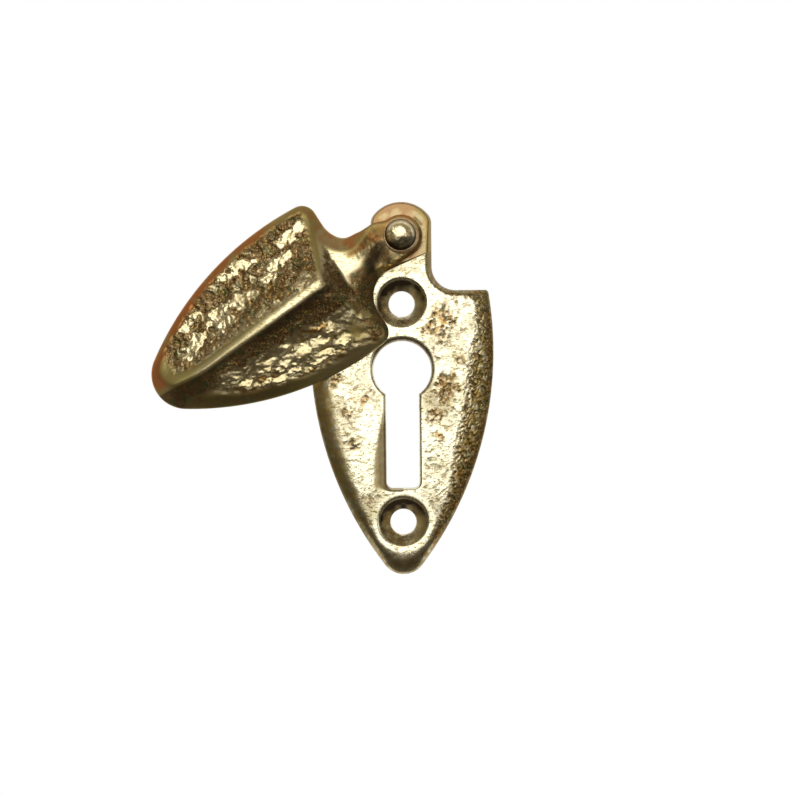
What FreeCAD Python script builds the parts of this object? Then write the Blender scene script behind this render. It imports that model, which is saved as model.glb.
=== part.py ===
"""Covered keyhole escutcheon in cast brass: a shield plate, a swinging shield cover and the rivet it turns on.

Millimetres. X is to the right, Y runs into the door and Z is up, so the front faces -Y. The origin is the middle
of the two screw holes, on the plate's back face. Plans are drawn as (across, down): across from the centre line,
and down from the pivot. Depth is measured from the door outwards, towards -Y.
"""

import FreeCAD, Part
import math
import os
from collections import namedtuple

Shield = namedtuple(
    "Shield",
    "half_width widest tip_down tip_radius horn_radius shoulder shoulder_fillet neck lobe_radius lobe_corner",
)

# Screw holes and pivot
screw_spacing = 31.0
screw_hole_radius = 1.85
countersink_radius = 3.6
countersink_angle = 90.0
pivot_above_upper_screw = 9.5

# Plate: its outline at the door
plate_outline = Shield(
    half_width=13.0,
    widest=16.0,
    tip_down=47.9,
    tip_radius=3.3,
    horn_radius=0.5,
    shoulder=7.6,
    shoulder_fillet=3.4,
    neck=4.3,
    lobe_radius=5.0,
    lobe_corner=2.0,
)

# Bevel round the flat field at the front: how far the field lies inside the plate's outline
bevel_at_side = 3.1
bevel_at_tip = 3.0
bevel_at_shoulder = 0.6
bevel_at_neck = 0.6
field_tip_blunting = 0.6
field_widest = 10.0
plate_thickness = 2.6
plate_edge_thickness = 1.4

# Filed seat on the plate's lobe, below a slanting step
seat_step = 0.12
seat_slope_angle = 4.0
seat_line_angle = 23.0
seat_line_down = 3.9

# Keyhole: a round hole for the barrel of the key and a slot for its bit
keyhole_centre_down = 18.9
keyhole_radius = 4.15
keyhole_slot_width = 4.7
keyhole_slot_end = 35.7
keyhole_slot_corner = 0.9
keyhole_edge_chamfer = 0.35

# Cover: outline of its back face, its bevelled edge, then its roof
cover_outline = Shield(
    half_width=11.6,
    widest=14.1,
    tip_down=40.95,
    tip_radius=4.9,
    horn_radius=2.1,
    shoulder=8.5,
    shoulder_fillet=4.3,
    neck=3.0,
    lobe_radius=None,
    lobe_corner=None,
)
cover_swing_angle = 57.7
cover_gap = 0.1
cover_edge_height = 0.7
bevel_inset = 1.6
bevel_rise = 1.25
apex_down = 13.4
apex_height = 6.1
tip_ridge_height = 2.2
ridge_crown = 0.7
eave_height = 1.5
facet_hollow = 1.05
hip_angle = 53.0
hip_foot_down = 10.1
hip_foot_fillet = 0.9
land_height = 2.3
land_end_down = 7.4
eye_height = 1.0
eye_top_radius = 2.6
eye_end_down = 2.7
ridge_fillet = 0.7

# Hollow in the back of the cover
cover_wall = 1.5
rim_width = 2.3

# Rivet
rivet_shank_radius = 1.2
rivet_running_clearance = 0.08
rivet_head_radius = 2.5
rivet_head_height = 2.0
rivet_head_edge = 0.25
rivet_head_gap = 0.1
rivet_tail_radius = 2.0
rivet_tail_depth = 0.8

# How far the roof is carried past the outline before it is trimmed
roof_overshoot = 2.0
roof_end_short = 0.5

# Worked out from the sizes above
pivot_z = screw_spacing / 2 + pivot_above_upper_screw
cover_back = plate_thickness + cover_gap


def at(across, down, depth):
    """A point of a plan, at a depth in front of the door."""
    return FreeCAD.Vector(across, -depth, pivot_z - down)


def line(start, end):
    return Part.LineSegment(start, end).toShape()


def arc(start, middle, end):
    return Part.Arc(start, middle, end).toShape()


def side_radius(shield):
    """Radius of the long side arc that is widest at its own level and touches the rounded tip."""
    drop = shield.tip_down - shield.tip_radius - shield.widest
    narrowing = shield.half_width - shield.tip_radius
    return (drop**2 / narrowing + shield.tip_radius + shield.half_width) / 2


def side_centre(shield):
    """Centre of the long arc on the right-hand side, as (across, down)."""
    return shield.half_width - side_radius(shield), shield.widest


def side_reach(shield, down):
    """How far out the long side arc lies at one level."""
    centre_across, centre_down = side_centre(shield)
    return centre_across + math.sqrt(side_radius(shield) ** 2 - (down - centre_down) ** 2)


def inset_shield(shield, inset):
    """The same shield with its outline moved inwards everywhere."""
    return shield._replace(
        half_width=shield.half_width - inset,
        tip_down=shield.tip_down - inset,
        tip_radius=shield.tip_radius - inset,
        horn_radius=max(shield.horn_radius - inset, 0.2),
        shoulder=shield.shoulder + inset,
        shoulder_fillet=shield.shoulder_fillet + inset,
        neck=shield.neck - inset,
        lobe_radius=shield.lobe_radius and shield.lobe_radius - inset,
        lobe_corner=shield.lobe_corner and shield.lobe_corner - inset,
    )


def field_of(shield):
    """Outline of the flat field inside a bevel that is broad at the sides and narrow elsewhere."""
    return shield._replace(
        half_width=shield.half_width - bevel_at_side,
        widest=field_widest,
        tip_down=shield.tip_down - bevel_at_tip,
        tip_radius=shield.tip_radius + field_tip_blunting,
        shoulder=shield.shoulder + bevel_at_shoulder,
        shoulder_fillet=shield.shoulder_fillet + bevel_at_neck,
        neck=shield.neck - bevel_at_neck,
        lobe_radius=shield.lobe_radius - bevel_at_neck,
        lobe_corner=shield.lobe_corner - bevel_at_neck,
    )


def between(centre, radius, first, last):
    """Point on a plan circle, half-way between two angles in degrees; 0 is to the right and 90 is down."""
    angle = math.radians((first + last) / 2)
    return centre[0] + radius * math.cos(angle), centre[1] + radius * math.sin(angle)


def angle_from(centre, point):
    return math.degrees(math.atan2(point[1] - centre[1], point[0] - centre[0]))


def right_side(shield):
    """Arcs and lines of the right-hand half, from the lobe down to the tip, as lists of plan points."""
    pieces = []
    neck_top = (shield.neck, 0.0)
    lobe_end = neck_top
    if shield.lobe_corner:
        corner_centre = (
            shield.neck - shield.lobe_corner,
            -math.sqrt((shield.lobe_radius - shield.lobe_corner) ** 2 - (shield.neck - shield.lobe_corner) ** 2),
        )
        corner_angle = angle_from((0, 0), corner_centre)
        lobe_end = between((0, 0), shield.lobe_radius, corner_angle, corner_angle)
        neck_top = (shield.neck, corner_centre[1])
        pieces.append([lobe_end, between(corner_centre, shield.lobe_corner, corner_angle, 0), neck_top])
    fillet_centre = (shield.neck + shield.shoulder_fillet, shield.shoulder - shield.shoulder_fillet)
    fillet_top = (shield.neck, fillet_centre[1])
    fillet_end = (fillet_centre[0], shield.shoulder)
    pieces.append([neck_top, fillet_top])
    pieces.append([fillet_top, between(fillet_centre, shield.shoulder_fillet, 180, 90), fillet_end])
    side = side_centre(shield)
    horn_down = shield.shoulder + shield.horn_radius
    radius = side_radius(shield)
    horn_reach = math.sqrt((radius - shield.horn_radius) ** 2 - (horn_down - side[1]) ** 2)
    horn_centre = (side[0] + horn_reach, horn_down)
    horn_top = (horn_centre[0], shield.shoulder)
    horn_angle = angle_from(side, horn_centre)
    horn_end = between(side, radius, horn_angle, horn_angle)
    pieces.append([fillet_end, horn_top])
    pieces.append([horn_top, between(horn_centre, shield.horn_radius, -90, horn_angle), horn_end])
    tip_angle = angle_from(side, (0.0, shield.tip_down - shield.tip_radius))
    tip_start = between(side, radius, tip_angle, tip_angle)
    pieces.append([horn_end, between(side, radius, horn_angle, tip_angle), tip_start])
    return pieces, lobe_end, tip_start


def shield_wire(shield, depth):
    """Closed outline of a shield at one depth."""
    pieces, lobe_end, tip_start = right_side(shield)
    right = [[at(across, down, depth) for across, down in piece] for piece in pieces]
    left = [[at(-across, down, depth) for across, down in reversed(piece)] for piece in reversed(pieces)]
    lobe_top = shield.lobe_radius or shield.neck
    lobe = [at(-lobe_end[0], lobe_end[1], depth), at(0, -lobe_top, depth), at(*lobe_end, depth)]
    tip = [at(*tip_start, depth), at(0, shield.tip_down, depth), at(-tip_start[0], tip_start[1], depth)]
    edges = [line(*piece) if len(piece) == 2 else arc(*piece) for piece in [lobe, *right, tip, *left]]
    return Part.Wire(edges)


def outwards(length):
    """A vector out of the door."""
    return FreeCAD.Vector(0, -length, 0)


def prism(wire, length):
    return Part.Face(wire).extrude(outwards(length))


def turned(profile):
    """A solid turned about the pivot's axis, from (radius, depth) points."""
    points = [at(radius, 0, depth) for radius, depth in profile]
    face = Part.Face(Part.makePolygon([*points, points[0]]))
    return face.revolve(at(0, 0, 0), FreeCAD.Vector(0, 1, 0), 360)


def bored(solid, centre_down, profile):
    """Cuts a turned hole on the centre line, from (radius, depth) points."""
    cutter = turned(profile)
    cutter.translate(FreeCAD.Vector(0, 0, -centre_down))
    return solid.cut(cutter)


def keyhole():
    """The keyhole as a solid that runs past both faces of the plate."""
    reach = 1.0
    length = plate_thickness + 2 * reach
    half = keyhole_slot_width / 2
    round_hole = Part.makeCylinder(keyhole_radius, length, at(0, keyhole_centre_down, -reach), outwards(1))
    slot_height = keyhole_slot_end - keyhole_centre_down
    slot = Part.makeBox(keyhole_slot_width, length, slot_height)
    slot.translate(at(-half, keyhole_slot_end, plate_thickness + reach))
    corners = [e for e in slot.Edges if is_slot_corner(e)]
    slot = slot.makeFillet(keyhole_slot_corner, corners)
    return round_hole.fuse(slot).removeSplitter()


def is_slot_corner(edge):
    """True for the two lower edges of the slot that run into the door."""
    ends = [v.Point for v in edge.Vertexes]
    low = all(abs(p.z - (pivot_z - keyhole_slot_end)) < 0.01 for p in ends)
    return low and abs(ends[0].x - ends[-1].x) < 0.01


def edges_at_depth(solid, depth, inside):
    """Edges that lie wholly at one depth and whose middle passes a plan test."""
    found = []
    for edge in solid.Edges:
        box = edge.BoundBox
        if abs(box.YMin + depth) < 0.01 and abs(box.YMax + depth) < 0.01:
            middle = edge.valueAt((edge.FirstParameter + edge.LastParameter) / 2)
            if inside(middle.x, pivot_z - middle.z):
                found.append(edge)
    return found


def in_keyhole(across, down):
    margin = 0.05
    in_round = math.hypot(across, down - keyhole_centre_down) < keyhole_radius + margin
    in_slot = abs(across) < keyhole_slot_width / 2 + margin and keyhole_centre_down < down
    return in_round or (in_slot and down < keyhole_slot_end + margin)


def lobe_seat():
    """The wedge filed off the lobe: a shallow step, then a slope that falls towards the top."""
    length = 30.0
    rise = length * math.tan(math.radians(seat_slope_angle))
    floor = plate_thickness - seat_step
    profile = [(0, floor), (0, plate_thickness + 1), (-length, plate_thickness + 1), (-length, floor - rise)]
    points = [at(-length, seat_line_down + down, depth) for down, depth in profile]
    wedge = Part.Face(Part.makePolygon([*points, points[0]])).extrude(FreeCAD.Vector(2 * length, 0, 0))
    wedge.rotate(at(0, seat_line_down, 0), FreeCAD.Vector(0, 1, 0), -seat_line_angle)
    return wedge


def make_plate():
    """Shield plate: a thin edge, a broad bevel up to the flat field, keyhole, screw holes and rivet hole."""
    field = field_of(plate_outline)
    edge = prism(shield_wire(plate_outline, 0), plate_edge_thickness)
    bevel = Part.makeLoft(
        [shield_wire(plate_outline, plate_edge_thickness), shield_wire(field, plate_thickness)], True, True
    )
    plate = edge.fuse(bevel).removeSplitter()
    plate = plate.cut(keyhole())
    plate = plate.makeChamfer(keyhole_edge_chamfer, edges_at_depth(plate, plate_thickness, in_keyhole))
    plate = plate.cut(lobe_seat())
    sink_depth = (countersink_radius - screw_hole_radius) / math.tan(math.radians(countersink_angle / 2))
    sink_slope = (countersink_radius - screw_hole_radius) / sink_depth
    front = plate_thickness + 1
    screw_profile = [
        (0, -1),
        (screw_hole_radius, -1),
        (screw_hole_radius, plate_thickness - sink_depth),
        (countersink_radius + sink_slope, front),
        (0, front),
    ]
    for down in (pivot_above_upper_screw, pivot_above_upper_screw + screw_spacing):
        plate = bored(plate, down, screw_profile)
    return bored(plate, 0, rivet_profile(front))


def rivet_profile(front):
    """Shank and peened tail of the rivet, from the back face to a depth in front, as (radius, depth) points."""
    return [
        (0, 0),
        (rivet_tail_radius, 0),
        (rivet_shank_radius, rivet_tail_depth),
        (rivet_shank_radius, front),
        (0, front),
    ]


def roof_section(down, drop):
    """Cross-section of the roof at one level: a ridge, a hollow slope and a level brim on each side, a deep foot."""
    share = (down - apex_down) / (cover_outline.tip_down - apex_down)
    crown = 4 * ridge_crown * share * (1 - share)
    ridge = cover_back + apex_height + share * (tip_ridge_height - apex_height) + crown - drop
    foot = cover_back + eave_height - drop
    bottom = foot - roof_overshoot
    reach = side_reach(cover_outline, down)
    hollow = facet_hollow * reach / cover_outline.half_width
    half_way = (ridge + foot) / 2 - hollow
    peak = at(0, down, ridge)
    right_foot, left_foot = at(reach, down, foot), at(-reach, down, foot)
    brim = reach + roof_overshoot
    right_brim, left_brim = at(brim, down, foot), at(-brim, down, foot)
    right_end, left_end = at(brim, down, bottom), at(-brim, down, bottom)
    edges = [
        arc(peak, at(reach / 2, down, half_way), right_foot),
        line(right_foot, right_brim),
        line(right_brim, right_end),
        line(right_end, left_end),
        line(left_end, left_brim),
        line(left_brim, left_foot),
        arc(left_foot, at(-reach / 2, down, half_way), peak),
    ]
    return Part.Wire(edges)


def roof_body(drop):
    """The two long slopes and their ridge, lofted from above the eye to past the tip."""
    centre_across, centre_down = side_centre(cover_outline)
    sides_meet = centre_down + math.sqrt(side_radius(cover_outline) ** 2 - centre_across**2)
    first = -cover_outline.neck - roof_overshoot
    last = sides_meet - roof_end_short
    count = 8
    levels = [first + (last - first) * step / (count - 1) for step in range(count)]
    return Part.makeLoft([roof_section(level, drop) for level in levels], True, False)


def hip_cutter(lift, back):
    """Everything above the hip slope, the land at its foot, and the neck that falls from there to the eye."""
    slope = math.radians(hip_angle)
    land = cover_back + land_height - lift
    eye = cover_back + eye_height - lift
    top = cover_back + apex_height + roof_overshoot
    foot = hip_foot_down + back
    run = hip_foot_fillet * math.tan(slope / 2)
    fillet_start = at(0, foot - run, land)
    fillet_middle = at(
        0,
        foot - run + hip_foot_fillet * math.sin(slope / 2),
        land + hip_foot_fillet * (1 - math.cos(slope / 2)),
    )
    fillet_end = at(0, foot + run * math.cos(slope), land + run * math.sin(slope))
    crest = at(0, foot + (top - land) / math.tan(slope), top)
    above = -3 * cover_outline.neck
    profile = [
        line(at(0, above, eye), at(0, eye_end_down, eye)),
        line(at(0, eye_end_down, eye), at(0, land_end_down, land)),
        line(at(0, land_end_down, land), fillet_start),
        arc(fillet_start, fillet_middle, fillet_end),
        line(fillet_end, crest),
        line(crest, at(0, above, top)),
        line(at(0, above, top), at(0, above, eye)),
    ]
    width = 3 * cover_outline.half_width
    face = Part.Face(Part.Wire(profile))
    face.translate(FreeCAD.Vector(-width / 2, 0, 0))
    return face.extrude(FreeCAD.Vector(width, 0, 0))


def ridge_edges(solid):
    """The long ridge and the two hips that meet it at the apex."""
    found = []
    for edge in solid.Edges:
        ends = [v.Point for v in edge.Vertexes]
        if len(ends) == 2 and any(is_apex(p) for p in ends):
            found.append(edge)
    return found


def is_apex(point):
    near = abs(pivot_z - point.z - apex_down) < 1.5
    return near and abs(point.x) < 0.05 and -point.y > cover_back + land_height + 1


def make_cover():
    """Shield cover: bevelled edge, hollow roof slopes with a ridge, hip at the top, and a hollow back."""
    bevel_foot = cover_back + cover_edge_height
    edge = prism(shield_wire(cover_outline, cover_back), cover_edge_height)
    foot = shield_wire(cover_outline, bevel_foot)
    top = shield_wire(inset_shield(cover_outline, bevel_inset), bevel_foot + bevel_rise)
    body = edge.fuse(Part.makeLoft([foot, top], True, True))
    body = body.fuse(prism(top, apex_height)).removeSplitter()
    body = body.common(roof_body(0))
    body = body.cut(hip_cutter(0, 0))
    body = body.makeFillet(ridge_fillet, ridge_edges(body))
    eye_top = cover_back + eye_height
    eye = turned([(0, cover_back), (cover_outline.neck, cover_back), (eye_top_radius, eye_top), (0, eye_top)])
    body = body.fuse(eye).removeSplitter()
    body = body.cut(back_hollow())
    hole_radius = rivet_shank_radius + rivet_running_clearance
    top_depth = cover_back + apex_height
    hole = [(0, 0), (hole_radius, 0), (hole_radius, top_depth), (0, top_depth)]
    body = bored(body, 0, hole)
    body.rotate(at(0, 0, 0), FreeCAD.Vector(0, 1, 0), cover_swing_angle)
    return body


def back_hollow():
    """The hollow behind the roof, one wall thinner than the roof all over."""
    inner_outline = inset_shield(cover_outline, rim_width)
    blank = prism(shield_wire(inner_outline, 0), cover_back + apex_height)
    hollow = blank.common(roof_body(cover_wall))
    above = cover_wall / math.sin(math.radians(hip_angle))
    return hollow.cut(hip_cutter(land_height + 1, above))


def make_rivet():
    """Round-headed rivet: domed head over the cover's eye, shank, and a tail peened into the plate's back."""
    seat = cover_back + eye_height + rivet_head_gap
    edge = Part.makeCylinder(rivet_head_radius, rivet_head_edge, at(0, 0, seat), outwards(1))
    dome = dome_head(seat + rivet_head_edge)
    shank = turned(rivet_profile(seat))
    return shank.fuse(edge).fuse(dome).removeSplitter()


def dome_head(depth):
    """The dome of the rivet's head, a slice of a ball."""
    height = rivet_head_height - rivet_head_edge
    ball_radius = (rivet_head_radius**2 + height**2) / (2 * height)
    ball = Part.makeSphere(ball_radius, at(0, 0, depth + height - ball_radius))
    return ball.common(Part.makeCylinder(2 * ball_radius, 2 * ball_radius, at(0, 0, depth), outwards(1)))


def main():
    os.makedirs("parts", exist_ok=True)
    nodes = {"back_plate": make_plate(), "swing_cover": make_cover(), "pivot_rivet": make_rivet()}
    for name, shape in nodes.items():
        shape.exportStep(f"parts/{name}.step")
        print(name, len(shape.Solids), shape.isValid(), round(shape.Volume, 1), "mm3")


main()
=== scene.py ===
import math
from collections import namedtuple
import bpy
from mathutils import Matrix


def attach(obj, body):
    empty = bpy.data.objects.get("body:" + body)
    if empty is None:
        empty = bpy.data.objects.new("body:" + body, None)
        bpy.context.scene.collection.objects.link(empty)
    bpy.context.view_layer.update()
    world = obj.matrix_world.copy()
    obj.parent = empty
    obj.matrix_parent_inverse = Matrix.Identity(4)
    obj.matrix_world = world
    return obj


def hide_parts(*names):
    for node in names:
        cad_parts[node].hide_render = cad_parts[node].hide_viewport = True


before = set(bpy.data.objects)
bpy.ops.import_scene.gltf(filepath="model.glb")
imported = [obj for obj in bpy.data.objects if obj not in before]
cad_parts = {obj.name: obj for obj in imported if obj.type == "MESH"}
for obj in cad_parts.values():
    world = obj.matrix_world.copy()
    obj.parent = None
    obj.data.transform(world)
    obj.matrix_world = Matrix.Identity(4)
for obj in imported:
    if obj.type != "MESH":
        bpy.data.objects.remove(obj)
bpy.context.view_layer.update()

from types import SimpleNamespace

import bpy
import numpy as np
from mathutils import Matrix, Vector, geometry

# Sizes in millimetres, as in the solids. A plan point is (across, down): across from the centre line,
# to the
# right, and down from the pivot. Depth is measured from the door outwards.

Shield = namedtuple(
    "Shield",
    "half_width widest tip_down tip_radius horn_radius shoulder shoulder_fillet neck lobe_radius lobe_corner",
)

screw_hole_radius = 1.85
countersink_radius = 3.6
upper_screw_down = 9.5
lower_screw_down = 40.5
pivot_z = 25.0

plate_outline = Shield(13.0, 16.0, 47.9, 3.3, 0.5, 7.6, 3.4, 4.3, 5.0, 2.0)
field_outline = Shield(9.9, 10.0, 44.9, 3.9, 0.5, 8.2, 4.0, 3.7, 4.4, 1.4)
plate_thickness = 2.6
plate_edge_thickness = 1.4
seat_step = 0.12
seat_slope = math.tan(math.radians(4.0))
seat_line_angle = math.radians(23.0)
seat_line_down = 3.9

keyhole_centre_down = 18.9
keyhole_radius = 4.15
keyhole_slot_half = 2.35
keyhole_slot_end = 35.7
keyhole_slot_corner = 0.9
keyhole_edge_fillet = 0.45

cover_outline = Shield(11.6, 14.1, 40.95, 4.9, 2.1, 8.5, 4.3, 3.0, None, None)
cover_swing = math.radians(57.7)
cover_back = 2.7
cover_edge = 0.7
bevel_slope = math.tan(math.radians(38.0))
apex_down = 13.4
apex_height = 6.1
tip_ridge_height = 2.2
ridge_crown = 0.7
ridge_round = 1.2
eave_height = 1.5
facet_hollow = 1.05
hip_slope = math.tan(math.radians(53.0))
hip_foot_down = 10.1
land_height = 2.3
land_end_down = 7.4
eye_height = 1.0
eye_end_down = 2.7
cover_bore_radius = 1.28
neck_fullness = 0.65
cover_wall = 1.5
rim_width = 2.3
hollow_hip_shift = cover_wall / math.sin(math.radians(57.0))
hollow_side_slope = 3.0

rivet_shank_radius = 1.2
rivet_head_radius = 2.5
rivet_head_height = 2.0
rivet_head_edge = 0.25
rivet_dome_radius = 2.2
rivet_dome_shift = (-0.1, -0.11)
rivet_head_gap = 0.1
rivet_tail_radius = 2.0
rivet_tail_depth = 0.8
rivet_seat = cover_back + eye_height + rivet_head_gap
rivet_bump_height = 0.08
rivet_sides = 96
dome_step = 0.12

# Marks that the surfaces carry for their finishes and for painted light and shade, and how strong they are on
# the unseen backs
mark_names = ("rough", "hollow", "olive", "warm", "amber", "unpolished")
back_marks_level = {"olive": 0.75, "amber": 0.4, "rough": 0.6}

# Spacing of the surface points, and of the points along an outline, with the widest turn between two
# of them
plate_front_step = 0.12
plate_back_step = 1.2
cover_front_step = 0.105
cover_back_step = 0.4
outline_step = 0.13
guide_step = 0.4
widest_turn = 12

# Free space between outline and lattice, in steps; points handled at a time; angle that counts as a
# sharp edge
lattice_clearance = 0.55
batch = 4000
crease_angle = 50

# Noise comes from a table of this many cells each way; the shift keeps the plans away from its edge
table_size = 64
table_shift = 31.0


# Plans: outlines as loops of points, and how far a point lies from them

def arc_row(centre, radius, first, last, step):
    """Points on a circle: centre + radius (cos, sin) of even angles from first to last, in degrees."""
    by_turn = math.ceil(abs(last - first) / widest_turn)
    by_length = math.ceil(abs(math.radians(last - first)) * radius / step)
    angle = np.radians(np.linspace(first, last, max(by_turn, by_length) + 1))
    return np.stack([centre[0] + radius * np.cos(angle), centre[1] + radius * np.sin(angle)], axis=1)


def line_row(start, end, step):
    """Points on a straight line: start + share * (end - start) for evenly spread shares from 0 to 1."""
    count = max(2, math.ceil(math.dist(start, end) / step) + 1)
    share = np.linspace(0, 1, count)[:, None]
    return np.array(start) + share * (np.array(end) - np.array(start))


def joined(rows, closed=True):
    """Rows end to end as one loop, with repeated points dropped."""
    points = np.concatenate(rows)
    gap = np.linalg.norm(points - np.roll(points, 1, axis=0), axis=1)
    gap[0] = gap[0] if closed else 1.0
    return points[gap > 0.01]


def side_radius(shield):
    """Radius of the long side arc: widest at its own level, and touching the rounded tip from outside."""
    drop = shield.tip_down - shield.tip_radius - shield.widest
    return (drop**2 / (shield.half_width - shield.tip_radius) + shield.tip_radius + shield.half_width) / 2


def side_reach(shield, down):
    """Half-width of the shield at a level: the side arc's centre + sqrt(radius^2 - (down - widest)^2)."""
    radius = side_radius(shield)
    return shield.half_width - radius + np.sqrt(np.maximum(radius**2 - (down - shield.widest) ** 2, 0))


def shield_loop(shield, step):
    """Outline of a shield: lobe, neck, fillet, shoulder, horn, side arc and tip, then its mirror image."""
    rows = []
    lobe = shield.lobe_radius or shield.neck
    neck_top = 0.0
    turn = 0.0
    if shield.lobe_corner:
        reach = shield.neck - shield.lobe_corner
        neck_top = -math.sqrt((lobe - shield.lobe_corner) ** 2 - reach**2)
        turn = math.degrees(math.atan2(neck_top, reach))
    rows.append(arc_row((0, 0), lobe, -90, turn, step))
    if shield.lobe_corner:
        rows.append(arc_row((reach, neck_top), shield.lobe_corner, turn, 0, step))
    fillet = (shield.neck + shield.shoulder_fillet, shield.shoulder - shield.shoulder_fillet)
    rows.append(line_row((shield.neck, neck_top), (shield.neck, fillet[1]), step))
    rows.append(arc_row(fillet, shield.shoulder_fillet, 180, 90, step))
    radius = side_radius(shield)
    side = (shield.half_width - radius, shield.widest)
    horn_down = shield.shoulder + shield.horn_radius
    horn_reach = math.sqrt((radius - shield.horn_radius) ** 2 - (horn_down - side[1]) ** 2)
    horn = (side[0] + horn_reach, horn_down)
    horn_turn = math.degrees(math.atan2(horn[1] - side[1], horn[0] - side[0]))
    tip = (0.0, shield.tip_down - shield.tip_radius)
    tip_turn = math.degrees(math.atan2(tip[1] - side[1], tip[0] - side[0]))
    rows.append(line_row((fillet[0], shield.shoulder), (horn[0], shield.shoulder), step))
    rows.append(arc_row(horn, shield.horn_radius, -90, horn_turn, step))
    rows.append(arc_row(side, radius, horn_turn, tip_turn, step))
    rows.append(arc_row(tip, shield.tip_radius, tip_turn, 90, step))
    right = joined(rows, closed=False)
    return np.concatenate([right, right[-2:0:-1] * (-1, 1)])


def keyhole_loop(step):
    """Outline of the keyhole: most of a circle, and a slot with rounded lower corners."""
    half = keyhole_slot_half
    meet = math.degrees(math.acos(half / keyhole_radius))
    corner_down = keyhole_slot_end - keyhole_slot_corner
    corner_across = half - keyhole_slot_corner
    join_down = keyhole_centre_down + keyhole_radius * math.sin(math.radians(meet))
    rows = [
        arc_row((0, keyhole_centre_down), keyhole_radius, 180 - meet, 360 + meet, step),
        line_row((half, join_down), (half, corner_down), step),
        arc_row((corner_across, corner_down), keyhole_slot_corner, 0, 90, step),
        line_row((corner_across, keyhole_slot_end), (-corner_across, keyhole_slot_end), step),
        arc_row((-corner_across, corner_down), keyhole_slot_corner, 90, 180, step),
        line_row((-half, corner_down), (-half, join_down), step),
    ]
    return joined(rows)


def circle_loop(down, radius, step):
    """A full circle about a place on the centre line, as a closed loop."""
    return joined([arc_row((0, down), radius, 0, 360, step)[:-1]])


def distance(points, loop):
    """Distance from each point to the nearest place on a closed loop of straight pieces."""
    ends = np.roll(loop, -1, axis=0) - loop
    square = np.maximum((ends**2).sum(axis=1), 1e-12)
    found = []
    for part in np.array_split(points, max(1, len(points) // batch)):
        off = part[:, None, :] - loop[None]
        share = np.clip((off * ends).sum(axis=2) / square, 0, 1)
        found.append(np.sqrt(((off - share[..., None] * ends) ** 2).sum(axis=2).min(axis=1)))
    return np.concatenate(found)


def inside(points, loop):
    """True for points inside a closed loop, by counting how many of its edges a level line crosses."""
    after = np.roll(loop, -1, axis=0)
    rise = after[:, 1] - loop[:, 1]
    rise = np.where(rise == 0, 1e-12, rise)
    found = []
    for part in np.array_split(points, max(1, len(points) // batch)):
        level = part[:, 1:2]
        spans = (loop[:, 1] > level) != (after[:, 1] > level)
        crossing = loop[:, 0] + (level - loop[:, 1]) / rise * (after[:, 0] - loop[:, 0])
        found.append((spans & (part[:, 0:1] < crossing)).sum(axis=1) % 2 == 1)
    return np.concatenate(found)


def inset(points, loop):
    """Distance inside a loop, negative outside it."""
    return distance(points, loop) * np.where(inside(points, loop), 1.0, -1.0)


# Surface marks, as height fields over the plan

def clipped(value):
    """The value held between 0 and 1."""
    return np.clip(value, 0, 1)


def ramp(value, low, high):
    """0 below low, 1 above high, and the smooth cubic 3s^2 - 2s^3 between them."""
    share = clipped((value - low) / (high - low))
    return share * share * (3 - 2 * share)


def below(value, low, high):
    """1 below low and 0 above high, the other way round from ramp."""
    return 1 - ramp(value, low, high)


def between(value, low, full, fade, high):
    """0 below low, 1 from full to fade, and 0 again above high."""
    return ramp(value, low, full) * below(value, fade, high)


def soft_min(one, two, blend):
    """The smaller of two heights, with the corner between them rounded over about one blend width."""
    return (one + two - np.sqrt((one - two) ** 2 + blend**2)) / 2


def soft_max(one, two, blend):
    """The larger of two heights, rounded like soft_min."""
    return (one + two + np.sqrt((one - two) ** 2 + blend**2)) / 2


def wave(points, size, seed):
    """Smooth noise from -1 to 1: random values on a lattice, blended with s^3 (6 s^2 - 15 s + 10)."""
    table = np.random.default_rng(seed).uniform(-1, 1, (table_size, table_size))
    place = points / size + table_shift
    cell = np.floor(place).astype(int)
    share = place - cell
    fade = share**3 * (share * (share * 6 - 15) + 10)
    left, top = cell[:, 0] % table_size, cell[:, 1] % table_size
    right, bottom = (left + 1) % table_size, (top + 1) % table_size
    upper = table[left, top] * (1 - fade[:, 0]) + table[right, top] * fade[:, 0]
    lower = table[left, bottom] * (1 - fade[:, 0]) + table[right, bottom] * fade[:, 0]
    return upper * (1 - fade[:, 1]) + lower * fade[:, 1]


def waves(points, size, seed, octaves):
    """Noise summed over octaves, each half the size and half the height of the last."""
    return sum(wave(points, size / 2**step, seed + step) / 2**step for step in range(octaves))


def facets(points, size, tilt, sharpness, seed):
    """Rocky facets: planes of random tilt near each lattice point, blended by exp(-sharpness gap^2)."""
    rng = np.random.default_rng(seed)
    shift = rng.uniform(-0.4, 0.4, (table_size, table_size, 2))
    lean = rng.normal(0, tilt, (table_size, table_size, 2))
    lift = rng.uniform(-0.5, 0.5, (table_size, table_size)) * tilt * size
    place = points / size + table_shift
    cell = np.round(place).astype(int)
    total, weights = np.zeros(len(points)), np.zeros(len(points))
    for step_across in (-1, 0, 1):
        for step_down in (-1, 0, 1):
            near = cell + (step_across, step_down)
            key = near[:, 0] % table_size, near[:, 1] % table_size
            gap = place - near - shift[key]
            weight = np.exp(-sharpness * (gap**2).sum(axis=1))
            total += weight * ((gap * lean[key]).sum(axis=1) * size + lift[key])
            weights += weight
    return total / weights


def slanted(points, angle, stretch):
    """Plan points turned by an angle in degrees and squeezed along it, so that marks run that way."""
    turn = math.radians(angle)
    along = points[:, 0] * math.cos(turn) - points[:, 1] * math.sin(turn)
    beside = points[:, 0] * math.sin(turn) + points[:, 1] * math.cos(turn)
    return np.stack([along / stretch, beside], axis=1)


# Meshes

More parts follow.
